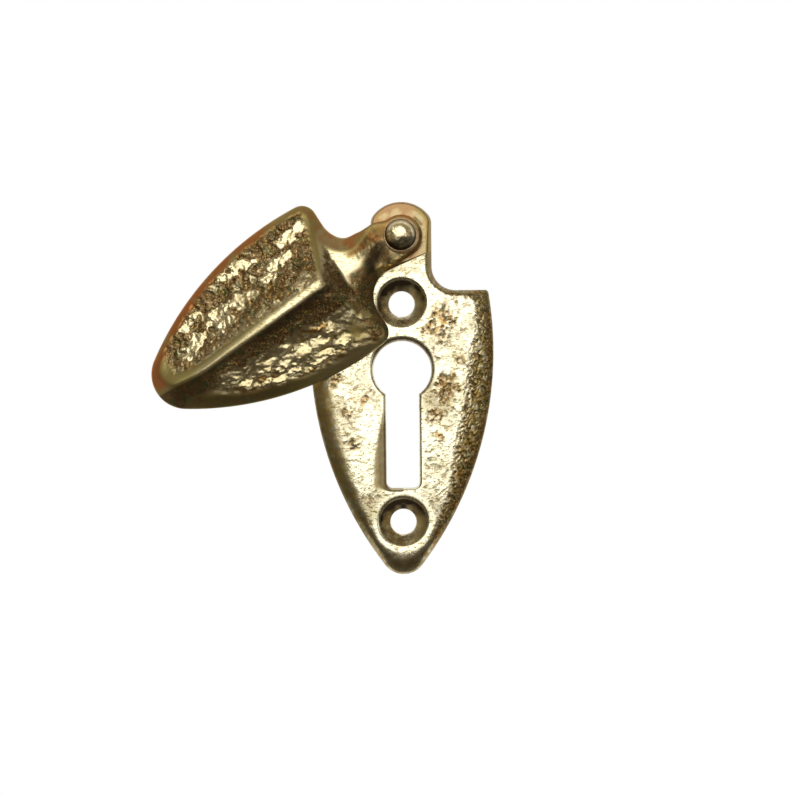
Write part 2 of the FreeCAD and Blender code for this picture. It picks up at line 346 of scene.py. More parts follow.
def lattice(loop, holes, step):
    """Points of a triangular lattice inside a loop and outside its holes, clear of every edge."""
    low, high = loop.min(axis=0), loop.max(axis=0)
    down = np.arange(low[1], high[1], step * math.sqrt(0.75))
    across = np.arange(low[0], high[0], step)
    grid = np.stack(np.meshgrid(across, down), axis=2)
    grid[1::2, :, 0] += step / 2
    points = grid.reshape(-1, 2)
    points = points[inset(points, loop[::3]) > step * lattice_clearance]
    for hole in holes:
        middle = (hole.max(axis=0) + hole.min(axis=0)) / 2
        near = (np.abs(points - middle) < np.ptp(hole, axis=0) / 2 + step).all(axis=1)
        keep = ~near
        keep[near] = inset(points[near], hole[::2]) < -step * lattice_clearance
        points = points[keep]
    return points


def triangulated(loop, holes, marks, step):
    """Plan points and triangles of a sheet: outline, holes and marked loops first, then a lattice."""
    loops = [loop, *holes, *marks]
    edges = []
    start = 0
    for row in loops:
        edges += [(start + i, start + (i + 1) % len(row)) for i in range(len(row))]
        start += len(row)
    inner = lattice(loop, holes, step)
    for mark in marks:
        inner = inner[distance(inner, mark[::2]) > step * lattice_clearance]
    points = np.concatenate([*loops, inner])
    result = geometry.delaunay_2d_cdt([Vector(p) for p in points.tolist()], edges, [], 1, 1e-6)
    source = np.array([origin[0] for origin in result[3]])
    triangles = source[np.array([face for face in result[2] if len(face) == 3])]
    centre = points[triangles].mean(axis=1)
    edge_points = len(points) - len(inner)
    for hole in holes:
        outer = (triangles >= edge_points).any(axis=1)
        outer[~outer] = ~inside(centre[~outer], hole)
        triangles = triangles[outer]
        centre = points[triangles].mean(axis=1)
    corner = points[triangles[:, 0]]
    one, two = points[triangles[:, 1]] - corner, points[triangles[:, 2]] - corner
    turn = one[:, 0] * two[:, 1] - one[:, 1] * two[:, 0]
    triangles = np.where((turn < 0)[:, None], triangles, triangles[:, ::-1])
    return points, triangles


def wall(front, back):
    """Two triangles between each pair of neighbouring points on two loops of equal length."""
    after_front, after_back = np.roll(front, -1), np.roll(back, -1)
    return np.concatenate(
        [np.stack([front, after_front, after_back], axis=1), np.stack([front, after_back, back], axis=1)]
    )


def placed(points, depth, swing=0.0):
    """Plan points and depths as metres in the frame, turned about the pivot by the swing."""
    across, down = points[:, 0], points[:, 1]
    x = across * math.cos(swing) - down * math.sin(swing)
    z = pivot_z - across * math.sin(swing) - down * math.cos(swing)
    return np.stack([x, -depth, z], axis=1) * 0.001


def mesh_piece(name, vertices, triangles, marks):
    """A mesh object from whole arrays, smooth but for its sharp edges, with its marks as attributes."""
    mesh = bpy.data.meshes.new(name)
    mesh.vertices.add(len(vertices))
    mesh.vertices.foreach_set("co", vertices.astype(np.float32).ravel())
    mesh.loops.add(triangles.size)
    mesh.loops.foreach_set("vertex_index", triangles.astype(np.int32).ravel())
    mesh.polygons.add(len(triangles))
    mesh.polygons.foreach_set("loop_start", np.arange(0, triangles.size, 3, dtype=np.int32))
    mesh.update(calc_edges=True)
    mesh.polygons.foreach_set("use_smooth", np.ones(len(triangles), dtype=bool))
    mesh.set_sharp_from_angle(angle=math.radians(crease_angle))
    for mark, values in marks.items():
        layer = mesh.attributes.new(mark, "FLOAT", "POINT")
        layer.data.foreach_set("value", values.astype(np.float32))
    piece = bpy.data.objects.new(name, mesh)
    bpy.context.scene.collection.objects.link(piece)
    return piece


def cast_piece(name, loop, holes, front, back, back_marks, steps, swing=0.0):
    """A closed casting: a front height field, a back height field and walls between their shared edges.

    front and back take plan points and give depths; front also gives the marks that its finish reads. The
    back's mesh follows back_marks too, and steps are the point spacings of front and back.
    """
    holes = [hole[::-1] for hole in holes]
    front_points, front_faces = triangulated(loop, holes, [], steps[0])
    back_points, back_faces = triangulated(loop, holes, back_marks, steps[1])
    front_depth, marks = front(front_points)
    back_depth = back(back_points)
    vertices = [placed(front_points, front_depth, swing), placed(back_points, back_depth, swing)]
    shift = len(front_points)
    faces = [front_faces, back_faces[:, ::-1] + shift]
    start = 0
    for row in [loop, *holes]:
        ring = np.arange(start, start + len(row))
        faces.append(wall(ring, ring + shift))
        start += len(row)
    back_look = {mark: np.full(len(back_points), back_marks_level.get(mark, 0.0)) for mark in marks}
    marks = {mark: np.concatenate([values, back_look[mark]]) for mark, values in marks.items()}
    return mesh_piece(name, np.concatenate(vertices), np.concatenate(faces), marks)


# Back plate

plate_loop = shield_loop(plate_outline, outline_step)
plate_guide = shield_loop(plate_outline, guide_step)
field_guide = shield_loop(field_outline, guide_step)
keyhole = keyhole_loop(outline_step)
screw_downs = (upper_screw_down, lower_screw_down)

# How much hand filing widens the bevel on the right side, and round the neck and shoulders
side_filing = 1.1
neck_filing = 0.45
bevel_roundness = 2.1
edge_round_width = 0.35
edge_round_depth = 0.12
seat_blend = 0.05

# Cast relief: height of the swell, depth of pits and specks, slope of the rocky facets, and the
# highest grain
swell_height = 0.03
pit_depth = 0.015
speck_depth = 0.018
burr_slope = 0.045
scar_slope = 0.14
scar_speck_depth = 0.012
side_grain_slope = 0.55
side_grain_bend = 0.35
seat_grain_slope = 0.03
bevel_swell_height = 0.015
highest_relief = 0.03

# Rough scars that the casting left on the field, each as (across, down, size)
plate_scars = (
    (5.4, 12.4, 3.8), (6.4, 21.4, 3.0), (4.5, 25.3, 1.4), (5.0, 28.3, 1.0), (8.4, 17.4, 1.2),
    (9.3, 23.5, 1.2), (-9.6, 20.2, 1.4), (-8.0, 24.8, 1.3), (-7.0, 29.5, 1.3), (-5.2, 22.8, 1.0),
)
# Where the painted shadow line lies on the seat beside the cover's eye, as (across, down)
seat_shadow_place = (2.4, -2.2)

# Wear of the keyhole's edge: how much further it reaches round the barrel, and how much deeper it goes
barrel_wear_width = 0.35
edge_wear_depth = 0.2

# Blend between countersink and field, and how hollow the countersink is: 1 is a straight cone
sink_blend = 0.14
sink_hollow = 1.3
sink_hollow_change = 0.4


def bevelled_shield(points):
    """Field and bevel: from edge to field the depth rises by 1 - (1 - s)^2.1, where s is the share of
    the way in.
    """
    across, down = points[:, 0], points[:, 1]
    edge_gap = distance(points, plate_guide)
    filed = side_filing * ramp(across, 5.0, 8.0) * between(down, 12.0, 19.0, 30.0, 38.0)
    filed = filed + neck_filing * below(down, 8.5, 10.0)
    field_gap = np.maximum(filed - inset(points, field_guide), 0)
    share = edge_gap / np.maximum(edge_gap + field_gap, 1e-6)
    bevel = 1 - (1 - share) ** bevel_roundness
    depth = plate_edge_thickness + (plate_thickness - plate_edge_thickness) * bevel
    depth = depth - edge_round_depth * clipped(1 - edge_gap / edge_round_width) ** 2
    return depth, share, edge_gap


def seated(points, depth):
    """The depth with the lobe's flat seat cut above a slanted line, and where that seat is."""
    across, down = points[:, 0], points[:, 1]
    up_line = (seat_line_down - down) * math.cos(seat_line_angle) - across * math.sin(seat_line_angle)
    seat = plate_thickness - seat_step - np.maximum(up_line, 0) * seat_slope
    in_seat = ramp(up_line, -0.05, 0.08)
    return depth * (1 - in_seat) + soft_min(depth, seat, seat_blend) * in_seat, in_seat


def keyhole_wear(points, keyhole_gap):
    """Depth lost at the keyhole's rounded edge, where the slot's left side is worn, and where the edge
    is painted darker as shade, over the barrel's top and down its right side.
    """
    across, down = points[:, 0], points[:, 1]
    by_slot = between(down, 24.0, 28.0, 35.4, 36.4) * (across < 0)
    slot_wear = 0.6 + 0.9 * ramp(down, 26.0, 33.0)
    slot_side = by_slot * below(keyhole_gap, slot_wear - 0.1, slot_wear + 0.6)
    over_barrel = below(down, 16.0, 19.0)
    by_barrel = ramp(across, 0.0, 2.0) * below(down, 21.5, 23.5)
    width = keyhole_edge_fillet + barrel_wear_width * np.maximum(over_barrel, by_barrel) + slot_wear * by_slot
    height = keyhole_edge_fillet + edge_wear_depth * over_barrel + edge_wear_depth * by_slot
    lost = height * (1 - np.sqrt(1 - clipped(1 - keyhole_gap / width) ** 2))
    # Painted shade: the edge darker over the barrel's top and, less, down its right side
    grime_and_shade = below(keyhole_gap, 0.35, 0.85) * np.maximum(over_barrel, 0.6 * by_barrel)
    return lost, slot_side, grime_and_shade


def countersink(points):
    """Depth of the dish R - r deep, falling as s^1.3; the gap from its screw's axis; the share of the
    way up it.
    """
    across, down = points[:, 0], points[:, 1]
    near_screw = np.where(down < keyhole_centre_down, upper_screw_down, lower_screw_down)
    screw_gap = np.hypot(across, down - near_screw)
    sink_up = (near_screw - down) / countersink_radius
    sink_depth = countersink_radius - screw_hole_radius
    sunk = clipped((countersink_radius - screw_gap) / sink_depth)
    curve = sink_hollow - sink_hollow_change * ramp(sink_up, -0.5, 0.5)
    dish = plate_thickness + np.maximum(screw_gap - countersink_radius, 0) - sink_depth * sunk**curve
    return dish, screw_gap, sink_up


def field_relief(points):
    """Cast relief of the field: a swell, pits in slanted rows, fine specks, and burrs in patches."""
    rows = slanted(points, 38.0, 2.2)
    swell = waves(points, 5.0, 11, 2) * swell_height
    pits = -pit_depth * ramp(waves(rows, 0.5, 12, 2), 0.25, 0.8) * ramp(wave(points, 1.7, 13), -0.5, 0.3)
    specks = -speck_depth * ramp(wave(points, 0.3, 15), 0.4, 0.7)
    burr = facets(points, 0.7, burr_slope, 4.0, 19) * ramp(waves(points, 4.2, 20, 2), 0.15, 0.6)
    return swell + pits + specks + burr


def bevel_relief(points):
    """Grain of the bevel: facets with bent edges on the right side, and a small swell all round."""
    bend = np.stack([wave(points, 0.8, 29), wave(points, 0.8, 30)], axis=1)
    side_grain = facets(points + side_grain_bend * bend, 0.34, side_grain_slope, 3.0, 22)
    return side_grain * ramp(points[:, 0], 3.0, 7.0) + waves(points, 1.1, 17, 2) * bevel_swell_height


def field_scars(points):
    """How scarred each place on the field is, and how dark the specks in the scars are."""
    across, down = points[:, 0], points[:, 1]
    ragged = 0.3 * wave(points, 0.9, 23)
    scarred = np.zeros(len(points))
    for mark_across, mark_down, mark_size in plate_scars:
        scar = np.hypot(across - mark_across, down - mark_down) / mark_size + ragged
        scarred = np.maximum(scarred, below(scar, 0.3, 1.0))
    return scarred, ramp(wave(points, 0.42, 27), -0.1, 0.35)


def seat_painted_shadow(points):
    """A short dark line painted on the seat beside the cover's eye, running down to the right, as a shadow.
    """
    across, down = points[:, 0] - seat_shadow_place[0], points[:, 1] - seat_shadow_place[1]
    along = np.abs(across + down) / math.sqrt(2)
    aside = np.abs(across - down) / math.sqrt(2)
    return below(aside, 0.08, 0.3) * below(along, 0.5, 1.1)


def plate_front(points):
    """Front of the plate: field, bevel, seat, worn keyhole edge and countersinks, with cast relief and
    its marks.
    """
    across, down = points[:, 0], points[:, 1]
    depth, share, edge_gap = bevelled_shield(points)
    depth, in_seat = seated(points, depth)
    keyhole_gap = distance(points, keyhole)
    edge_lost, slot_side, rim_painted_shade = keyhole_wear(points, keyhole_gap)
    dish, screw_gap, sink_up = countersink(points)

    on_field = ramp(share, 0.5, 0.95)
    on_bevel = below(share, 0.55, 0.95)
    on_right = ramp(across, 3.0, 7.0)
    on_tip = on_bevel * ramp(down, 43.5, 46.0)
    clear_of_rings = 1 - below(screw_gap, countersink_radius + 0.5, countersink_radius + 1.3)
    clear_of_edge = 1 - 0.7 * below(keyhole_gap, 0.5, 1.1)
    rough = on_field * (1 - in_seat) * clear_of_rings * clear_of_edge * (1 - 0.8 * slot_side)
    scarred, scar_specks = field_scars(points)

    relief = field_relief(points) * rough
    scar_relief = facets(points, 0.5, scar_slope, 4.0, 21) - scar_speck_depth * scar_specks
    relief += scar_relief * scarred * rough
    relief += facets(points, 0.5, seat_grain_slope, 4.0, 28) * in_seat
    relief += bevel_relief(points) * on_bevel * (1 - in_seat) * np.minimum(1, edge_gap)
    depth = depth + np.minimum(relief, highest_relief) - edge_lost
    depth = soft_min(depth, dish, sink_blend)

    # Painted light and shade in the countersinks: black towards the top and left, olive on the right, brown
    # lower down
    in_sink = below(screw_gap, countersink_radius - 0.35, countersink_radius + 0.05)
    sink_right = across / countersink_radius
    sink_lip = in_sink * ramp(screw_gap, 2.5, 3.2)
    sink_brown = in_sink * (1 - 0.7 * ramp(sink_right, -0.2, 0.6)) * below(sink_up, 0.3, 0.9)
    sink_painted_shade = 0.4 + 0.7 * sink_up - 0.25 * sink_right + 0.25 * sink_lip + 0.25 * wave(points, 0.8, 25)
    # The bevel darker near the outer edge, wider on the right and fading at the tip
    edge_dark_width = 0.15 + 0.35 * on_right
    edge_darkening = 0.75 * below(edge_gap, edge_dark_width, 2.2 * edge_dark_width + 0.3) * (1 - in_seat)
    edge_darkening = edge_darkening * (1 - 0.8 * ramp(down, 42.0, 45.0))
    bevel_olive = 0.95 - 0.5 * ramp(wave(points, 0.5, 26), -0.2, 0.5) - 0.25 * ramp(down, 41.0, 44.0)
    right_amber = (0.6 + 0.4 * ramp(down, 26.0, 34.0)) * on_bevel * ramp(across, 1.5, 5.0)
    stains = ramp(waves(points, 1.6, 24, 3), 0.75, 1.1) * rough
    marks = {
        "rough": np.clip(rough + 0.8 * in_sink + 1.2 * on_bevel * on_right * (1 - in_seat), 0, 1.2),
        "hollow": clipped(
            0.75 * clipped(-relief / 0.04)
            + scarred * scar_specks * rough
            + 0.08 * on_tip
            + edge_darkening
            + 0.15 * in_seat * ramp(across, -1, 3)
            # painted shadow of the eye's edge on the seat
            + 1.2 * seat_painted_shadow(points) * in_seat
            + 0.35 * slot_side
            # painted shade along the keyhole's top edge
            + 0.8 * rim_painted_shade
        ),
        "olive": clipped(
            bevel_olive * below(share, 0.45, 0.95)
            + 0.65 * slot_side
            + 0.7 * in_sink * ramp(sink_right, 0.1, 0.8)
            + 0.7 * in_seat
        ),
        "warm": in_seat * (1.3 - 1.0 * ramp(across, -1.0, 3.5)),
        "amber": clipped(
            0.95 * scarred * rough * (1 - scar_specks)
            + 0.5 * on_tip
            + 0.6 * stains
            + right_amber
            + 0.5 * on_bevel * ramp(-across, 1.5, 5.0)
            + 0.5 * slot_side
            + 0.8 * sink_brown
        ),
        "unpolished": in_sink * clipped(sink_painted_shade),
    }
    return depth, marks


def plate_back(points):
    """Back of the plate: flat, with a cone for the rivet's tail."""
    gap = np.hypot(points[:, 0], points[:, 1])
    slope = rivet_tail_depth / (rivet_tail_radius - rivet_shank_radius)
    return np.clip((rivet_tail_radius - gap) * slope, 0, rivet_tail_depth)


plate_holes = [keyhole, *(circle_loop(down, screw_hole_radius, outline_step) for down in screw_downs)]
plate = cast_piece(
    "brass_back_plate",
    plate_loop,
    [*plate_holes, circle_loop(0, rivet_shank_radius, outline_step)],
    plate_front,
    plate_back,
    [circle_loop(0, rivet_tail_radius, outline_step)],
    (plate_front_step, plate_back_step),
)


# Swinging cover

def cover_plan(step):
    """Outline of the cover, with the left side of its neck cast a little fuller than the right side."""
    loop = shield_loop(cover_outline, step)
    across, down = loop[:, 0], loop[:, 1]
    fuller = neck_fullness * ramp(-across, 2.0, 2.9) * between(down, 0.3, 2.6, 5.0, 7.6)
    return np.stack([across - fuller, down], axis=1)


cover_loop = cover_plan(outline_step)
cover_guide = cover_plan(guide_step)


def roof(across, down):
    """Roof: a crowned ridge, and slopes ridge + (eave - ridge) s - 4 hollow s (1 - s) with s from 0 to
    1 across.
    """
    share = (down - apex_down) / (cover_outline.tip_down - apex_down)
    crown = 4 * ridge_crown * share * (1 - share)
    ridge = apex_height + share * (tip_ridge_height - apex_height) + crown
    reach = np.maximum(side_reach(cover_outline, down), 0.5)
    hollow = facet_hollow * reach / cover_outline.half_width
    side = np.abs(across) / reach
    return ridge + (eave_height - ridge) * side - 4 * hollow * side * (1 - side)


# Raised rocky clumps on the cover's two long slopes, each as (across, down, radius)
left_clumps = (
    (-8.6, 10.9, 0.6), (-8.4, 13.7, 0.75), (-6.1, 17.3, 0.6), (-6.3, 15.4, 0.5), (-8.6, 20.9, 0.8),
    (-8.5, 24.1, 0.7), (-9.7, 22.3, 0.45), (-4.6, 23.9, 0.95), (-4.3, 22.1, 0.5), (-4.7, 27.6, 0.85),
    (-3.1, 27.0, 0.6), (-3.1, 31.5, 0.9), (-2.1, 33.9, 0.75), (-6.2, 30.3, 0.45), (-5.6, 32.5, 0.6),
    (-4.9, 19.2, 0.6), (-3.9, 29.3, 0.5),
)
right_clumps = (
    (6.4, 20.6, 1.0), (6.3, 17.6, 0.9), (5.7, 15.8, 0.7), (8.0, 15.3, 0.6), (5.1, 25.5, 0.8),
    (6.4, 23.2, 0.8), (3.9, 30.0, 0.8), (5.6, 29.2, 0.5), (7.9, 25.3, 0.5), (4.2, 31.7, 0.5),
    (8.1, 19.7, 0.6), (6.5, 10.7, 0.5), (5.6, 12.2, 0.5), (5.2, 27.4, 0.6), (4.4, 22.3, 0.5),
    (7.2, 27.3, 0.4), (7.6, 22.8, 0.6), (8.2, 17.8, 0.6),
)
clump_stretch = 1.7
clump_rise = 0.12
left_clump_lean = 0.12
right_clump_lean = 0.34
right_clump_softness = 0.5

# Widths over which the cover's faces blend into each other, and how far the apex is built up again
hip_foot_blend = 0.4
hip_blend = 0.7
apex_blend = 0.6
apex_rise = 0.34
bevel_blend = 0.35
rim_round_width = 0.2
rim_round_depth = 0.06

# The ridge is rounded least towards the tip; the roof is widened by a share of that rounding to keep
# its height
least_ridge_fade = 0.35
ridge_widening = 0.45

# Relief: slopes of the large and small rocks, height of the streaks on the right, and the swell elsewhere
large_rock_slope = 0.22
small_rock_slope = 0.24
streak_height = 0.17
right_rock_share = 0.2
neck_chip_slope = 0.45
cover_swell_height = 0.03
least_height = 0.05


def clumps(points, places, lean, soft):
    """How far each point lies on a clump, from 0 to 1, and a height that leans the clumps' tops
    towards the front.

    soft, from 0 to 1, widens a clump's edge and takes the fine notches out of it.
    """
    across, down = points[:, 0], points[:, 1]
    ragged = 0.6 * waves(points, 0.8 + 0.5 * soft, 44, 3 - round(soft))
    on_clump, tilt, weights = np.zeros(len(points)), np.zeros(len(points)), np.full(len(points), 1e-3)
    for clump_across, clump_down, radius in places:
        gap = np.hypot(across - clump_across, (down - clump_down) / clump_stretch)
        gap = gap / radius / (1 + 0.35 * soft) + ragged
        mound = below(gap, 0.8 - 0.4 * soft, 1.6 + 0.2 * soft)
        tilt += mound**4 * lean * (np.abs(across) - abs(clump_across))
        weights += mound**3
        on_clump = np.maximum(on_clump, mound)
    return on_clump, tilt / weights


def neck_and_land(down):
    """Top of the neck: level at the eye, an S-shaped rise to the land, and level to the foot of the hip."""
    return eye_height + (land_height - eye_height) * ramp(down, eye_end_down, land_end_down)


def ridge_drift(down):
    """How far right of the centre line the ridge runs: it isn't quite straight, and drifts on its way
    to the tip.
    """
    return clipped((down - 13.0) / 20.0) * (1 - 0.8 * ramp(down, 33.0, 41.0))


def cover_faces(points, beside, edge_gap):
    """Heights of the roof, the hip, the two blended, and the bevel, and how near to the apex each
    point is.
    """
    across, down = points[:, 0], points[:, 1]
    to_tip = (cover_outline.tip_down - down) / (cover_outline.tip_down - apex_down)
    rounding = ridge_round * np.clip(to_tip, least_ridge_fade, 1)
    slopes = roof(np.sqrt(beside**2 + rounding**2) - ridge_widening * rounding, down)
    land = neck_and_land(down)
    hip = soft_max(land + (down - hip_foot_down) * hip_slope, land, hip_foot_blend)
    at_apex = np.exp(-((across / 1.6) ** 2) - ((down - apex_down) / 2.2) ** 2)
    top = soft_min(slopes, hip, hip_blend + apex_blend * at_apex) + apex_rise * at_apex
    rim_round = rim_round_depth * clipped(1 - edge_gap / rim_round_width) ** 2
    bevel = cover_edge + edge_gap * bevel_slope - rim_round
    return slopes, hip, top, bevel, at_apex


def cover_places(points, beside, edge_gap, slopes, hip, top, bevel):
    """Where the cover's faces and features are, each from 0 to 1."""
    across, down = points[:, 0], points[:, 1]
    on_bevel = ramp(top - bevel, -0.5, 0.1)
    on_hip = ramp(slopes - hip, -0.3, 0.3)
    off_bevel = 1 - on_bevel
    left_facet = ramp(-beside, 0.7, 1.5) * ramp(hip - slopes, 0.5, 1.6) * below(down, 36.3, 38.3)
    left_facet = left_facet * below(top - bevel, -0.15, 0.3)
    right_facet = ramp(beside, 0.7, 1.6) * ramp(hip - slopes, -0.9, -0.2) * (1 - 0.8 * ramp(down, 32.5, 35.0))
    horn_gap = np.hypot((across - 7.9) / 1.8, (down - 12.2) / 1.4) + 0.3 * wave(points, 1.2, 45)
    by_horn = below(horn_gap, 0.3, 1.3)
    over_hip_foot = ramp(down, hip_foot_down - 0.4, hip_foot_down + 0.3)
    past_land_rise = ramp(down, land_end_down - 0.6, land_end_down + 0.2)
    return SimpleNamespace(
        bevel=on_bevel,
        hip=on_hip,
        roof=ramp(hip - slopes, -0.5, 0.2),
        facet=np.maximum(left_facet, off_bevel * right_facet * (1 - 0.7 * by_horn)),
        by_horn=by_horn,
        hip_face=on_hip * off_bevel * over_hip_foot,
        land=on_hip * off_bevel * past_land_rise * ramp(across, 1.2, 2.2),
        shoulder=on_bevel * ramp(across, 1.5, 3.0) * ramp(edge_gap, 0.5, 1.1) * below(down, 11.0, 12.0),
        neck_edge=on_bevel * ramp(across, 0.5, 1.2) * between(down, 0.5, 1.5, 4.6, 6.0),
    )


def neck_places(points, on):
    """Where the neck is, its warm and brown patches, and where it is painted darker as shade, each from 0 to
    1.
    """
    across, down = points[:, 0], points[:, 1]
    from_pivot = np.hypot(across, down) + 0.6 * wave(points, 1.1, 40)
    neck = below(from_pivot, 6.2, 7.8)
    off_edge = 1 - 0.9 * on.neck_edge
    band_middle = -0.6 + 2.1 * clipped((down - 3.0) / 4.0)
    band_gap = np.abs(across - band_middle) + 0.35 * waves(points, 1.0, 49, 2)
    return SimpleNamespace(
        all=neck,
        warm=neck * ramp(-across, 0.3, 1.5) * (1 - on.bevel),
        brown=ramp(-across, 0.8, 1.7) * between(down, 0.6, 1.6, 7.2, 8.6) * (1 - on.bevel),
        # Painted shade: a dark strip along the neck, a darker ring round the eye, and the neck's darker right
        # side
        shade_band=below(band_gap, 0.3, 1.5) * between(down, 1.6, 3.0, 5.6, 7.4) * off_edge,
        eye_shade=below(from_pivot, 3.8, 5.6) * ramp(across, 0.1, 0.8) * off_edge,
        side=ramp(across, 0.2, 1.2) * between(down, 5.0, 6.3, 8.8, 10.3) * (1 - on.neck_edge),
    )


def cover_relief(points, on, rough, left, left_tilt, right, right_tilt):
    """Hammered relief: rocks on the left slope, streaks that run down the right one, and clumps on both."""
    rocks = facets(slanted(points, 20.0, 1.3), 1.0, large_rock_slope, 5.0, 37)
    rocks = rocks + facets(points, 0.5, small_rock_slope, 6.0, 38)
    streaks = streak_height * waves(slanted(points, 58.0, 2.4), 1.5, 47, 3) + right_rock_share * rocks
    relief = np.where(points[:, 0] > 0, streaks, rocks * (0.8 - 0.45 * left))
    relief = (relief + left_tilt + right_tilt + clump_rise * (np.maximum(left, right) - 0.5)) * rough
    return relief + facets(points, 0.5, neck_chip_slope, 4.0, 48) * on.neck_edge


def cover_front(points):
    """Front of the cover: the lowest of roof, hip and bevelled edge, ridges rounded, with its relief
    and marks.
    """
    across, down = points[:, 0], points[:, 1]
    beside = across - ridge_drift(down)
    edge_gap = distance(points, cover_guide)
    slopes, hip, top, bevel, at_apex = cover_faces(points, beside, edge_gap)
    on = cover_places(points, beside, edge_gap, slopes, hip, top, bevel)
    neck = neck_places(points, on)

    neck_blotches = 0.35 * below(down, 6.0, 8.0) * (1 - on.bevel) * ramp(down, 2.4, 3.0)
    rough = on.facet + 0.7 * on.hip_face + 0.6 * on.land + 0.8 * on.shoulder + 0.3 * on.neck_edge
    rough = clipped(rough + neck_blotches)
    left, left_tilt = clumps(points, left_clumps, left_clump_lean, 0.0)
    right, right_tilt = clumps(points, right_clumps, right_clump_lean, right_clump_softness)
    relief = cover_relief(points, on, rough, left, left_tilt, right, right_tilt)
    swell = waves(points, 3.5, 35, 2) * cover_swell_height * (1 - rough)
    held = np.minimum(1, edge_gap / 0.5)
    height = soft_min(top, bevel, bevel_blend) + (relief + swell) * held

    polished = ramp(np.maximum(left, right), 0.3, 0.7)
    polished = np.maximum(polished, 0.7 * ramp(waves(points, 1.3, 36, 2), 0.5, 0.9))
    polished = np.where(across > 0, np.maximum(polished, ramp(right, 0.1, 0.5)), polished)
    # Painted shade: a dark strip just right of the ridge, near black towards the apex
    band_end = 1.9 + 1.7 * below(down, 15.0, 20.0) + 0.7 * wave(points, 1.5, 41)
    ridge_shade = between(beside, 0.2, 0.6, band_end, band_end + 1.2) * on.roof
    ridge_painted_black = between(beside, 0.3, 0.7, 1.1, 2.3) * on.roof * below(down, 22.0, 28.0)
    outer = 0.85 * ramp(across, 2.8, 4.3) * ramp(down, 11.0, 13.0)
    inner = between(-beside, 0.3, 1.0, 1.5, 3.0)
    left_band = (1 - on.facet) * (1 - on.hip) * ramp(-beside, 0.4, 1.0) * (1 - at_apex)
    at_eye_end = below(down, 0.5, 1.5)
    # Painted shade: the bevel low on the right is darkened
    low_bevel_shade = on.bevel * ramp(across, 2.0, 4.0) * ramp(down, 21.0, 27.0)

    # Grime in the hollows of the rough faces, less on raised and polished parts, plus painted shade on the
    # hip face, beside the ridge, on the neck and on the low right bevel
    raised = np.where(across > 0, 0.5, 1.5) * relief
    grime_and_shade = (1.0 - polished - 0.4 * inner - raised - outer) * rough
    grime_and_shade = grime_and_shade + 0.5 * on.hip_face + ridge_shade + neck.shade_band + neck.side
    grime_and_shade = grime_and_shade + neck.eye_shade * (0.7 + 0.3 * wave(points, 0.7, 51))
    grime_and_shade = grime_and_shade * (1 - on.neck_edge) + 0.45 * neck.brown + 0.7 * low_bevel_shade
    # Painted reflection: a warm copper band on the cover's left bevel, growing stronger towards the tip
    edge_painted_reflection = ramp(top - bevel, -0.1 - 0.25 * ramp(down, 16.0, 24.0), 0.35) * ramp(-across, -1.0, 2.0)
    reflection_down = (
        0.4 - 0.25 * ramp(down, 7.0, 11.0) + 0.6 * ramp(down, 13.0, 19.0)
        + 0.25 * ramp(down, 24.0, 30.0)
    )
    stains = ramp(waves(points, 1.6, 39, 2), -0.2, 0.4)
    marks = {
        "rough": rough,
        "hollow": clipped(grime_and_shade),
        "olive": clipped(
            0.75 * on.bevel
            + 0.8 * left_band
            + 0.5 * (1 - on.facet) * on.roof * ramp(down, 17.0, 28.0)
            + 0.5 * (1 - on.facet) * ramp(down, 33.0, 36.0)
            + 0.9 * on.by_horn
            + 0.8 * at_eye_end
            + 0.9 * neck.brown
            + 0.3 * neck.all
            + 0.35 * outer * rough
        ),
        "warm": (
            1.6 * edge_painted_reflection * reflection_down * (1 + 0.45 * wave(points, 1.4, 50))
            + 0.35 * neck.warm * ramp(waves(points, 0.9, 46, 2), -0.2, 0.4)
            + 0.3 * at_eye_end
        ),
        "amber": (
            stains * clipped(rough * (1 - 0.8 * polished) + 0.3 * left_band)
            + 0.7 * on.neck_edge
            + 0.6 * neck.eye_shade
            + 1.3 * neck.brown
        ),
        # Painted black shade on the hip face, the neck's strip, eye and side, and beside the ridge, a little
        # on the brown patch
        "unpolished": np.clip(
            0.4 * on.hip_face
            + 0.8 * neck.shade_band
            + 0.35 * neck.eye_shade
            + 0.55 * ridge_painted_black
            + 0.2 * neck.side
            + 0.25 * neck.brown,
            0,
            0.9,
        ),
    }
    return cover_back + np.maximum(height, least_height), marks


def cover_hollow(points):
    """Back of the cover: a flat rim, and a hollow one wall below the roof, with steep sides."""
    across, down = points[:, 0], points[:, 1]
    edge_gap = distance(points, cover_guide)
    hip = (down - hip_foot_down - hollow_hip_shift) * hip_slope
    sides = (edge_gap - rim_width) * hollow_side_slope
    inner = np.minimum(roof(across, down) - cover_wall, np.minimum(hip, sides))
    return cover_back + np.where(down > hip_foot_down, np.maximum(inner, 0), 0)


cover = cast_piece(
    "brass_swing_cover",
    cover_loop,
    [circle_loop(0, cover_bore_radius, outline_step)],
    cover_front,
    cover_hollow,
    [],
    (cover_front_step, cover_back_step),
    cover_swing,
)


# Pivot rivet

def rivet_profile():
    """Half section of the rivet, as (radius, depth): dome, thin brim, underside, shank and tail."""
    rise = rivet_head_height - rivet_head_edge
    ball = (rivet_dome_radius**2 + rise**2) / (2 * rise)
    dome_turn = math.degrees(math.asin(rivet_dome_radius / ball))
    dome = arc_row((0, rivet_seat + rivet_head_height - ball), ball, 90, 90 - dome_turn, dome_step)
    brim_top = rivet_seat + rivet_head_edge
    under = [
        (rivet_dome_radius + 0.06, brim_top - 0.02),
        (rivet_head_radius - 0.08, brim_top - 0.03),
        (rivet_head_radius, rivet_seat + 0.12),
        (rivet_head_radius - 0.1, rivet_seat),
        (rivet_shank_radius, rivet_seat),
        (rivet_shank_radius, rivet_tail_depth),
        (rivet_tail_radius, 0),
        (0, 0),
    ]
    return np.concatenate([dome, np.array(under)])


